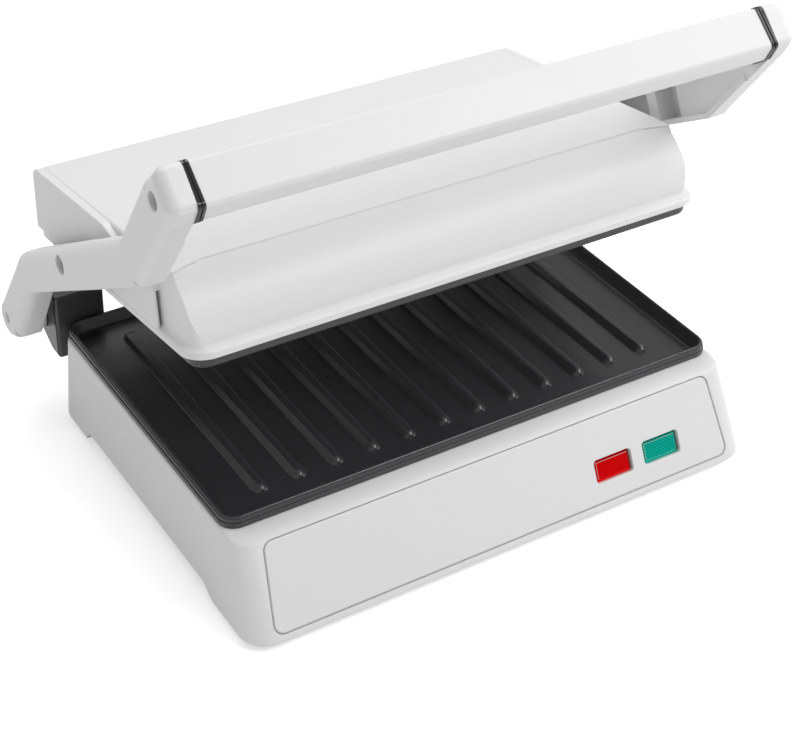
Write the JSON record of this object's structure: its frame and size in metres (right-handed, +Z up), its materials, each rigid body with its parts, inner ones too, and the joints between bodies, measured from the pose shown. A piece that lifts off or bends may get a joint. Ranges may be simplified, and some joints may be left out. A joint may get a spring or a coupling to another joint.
{
  "type": "contact grill",
  "caption": "Compact contact grill with ribbed non-stick plates, a flared base with two indicator lenses and a floating lid carried by a crank-armed handle.",
  "frame": {"origin": "on the table, midway across and midway from the base's front edge to the back of the hinge", "axes": "+X to the right seen from the front, +Y to the back, +Z up"},
  "size_m": [0.283, 0.217, 0.2055],
  "materials": {
    "white_plastic": "satin moulded plastic with a faint metallic grain",
    "grey_plastic": "matt moulded plastic",
    "red_lens": "translucent red, smooth",
    "green_lens": "translucent green with a fine diamond pattern",
    "ivory_plastic": "heat-resistant moulded plastic",
    "lamp_glass": "small glow lamps",
    "nonstick": "die-cast aluminium with a black non-stick coat",
    "heater_steel": "sheathed heater, dull steel",
    "bright_sheet": "bright pressed sheet",
    "thermostat_ceramic": "matt ceramic",
    "black_rubber": "matt black rubber",
    "screw_steel": "zinc-plated steel",
    "black_plastic": "black moulded plastic",
    "black_gloss": "glossy black ring"
  },
  "bodies": {
    "base": {"base_shell": "white_plastic", "base_bottom": "grey_plastic", "front_panel": "white_plastic", "red_lens": "red_lens", "green_lens": "green_lens", "lamp_holder": "ivory_plastic", "indicator_lamps": "lamp_glass", "lower_plate": "nonstick", "lower_element": "heater_steel", "lower_reflector": "bright_sheet", "thermostat": "thermostat_ceramic", "thermal_fuse": "heater_steel", "terminal_block": "ivory_plastic", "cable_gland": "black_rubber", "rubber_feet": "black_rubber", "base_screws": "screw_steel", "lower_plate_screws": "screw_steel", "bracket_left": "black_plastic", "bracket_right": "black_plastic", "bracket_screws": "screw_steel", "hinge_pin_left": "screw_steel", "hinge_pin_right": "screw_steel"},
    "handle": {"arm_left": "white_plastic", "arm_right": "white_plastic", "grip_bar": "white_plastic", "gasket_left": "black_gloss", "gasket_right": "black_gloss", "grip_screws": "screw_steel", "lid_pin_left": "screw_steel", "lid_pin_right": "screw_steel"},
    "lid": {"lid_shell": "white_plastic", "upper_plate": "nonstick", "upper_element": "heater_steel", "upper_reflector": "bright_sheet", "upper_thermostat": "thermostat_ceramic", "upper_plate_screws": "screw_steel"}
  },
  "joints": [
    {"name": "arm_hinge", "type": "hinge", "parent": "base", "child": "handle", "pos_m": [0, 0.0995, 0.0437], "axis": [-1, 0, 0], "range_deg": [-29.5, 60]},
    {"name": "lid_float", "type": "hinge", "parent": "handle", "child": "lid", "pos_m": [0, 0.02694, 0.11325], "axis": [-1, 0, 0], "range_deg": [-44, 22]}
  ],
  "couplings": [
    {"joint": "lid_float", "follows": "arm_hinge", "ratio": -0.71186}
  ]
}
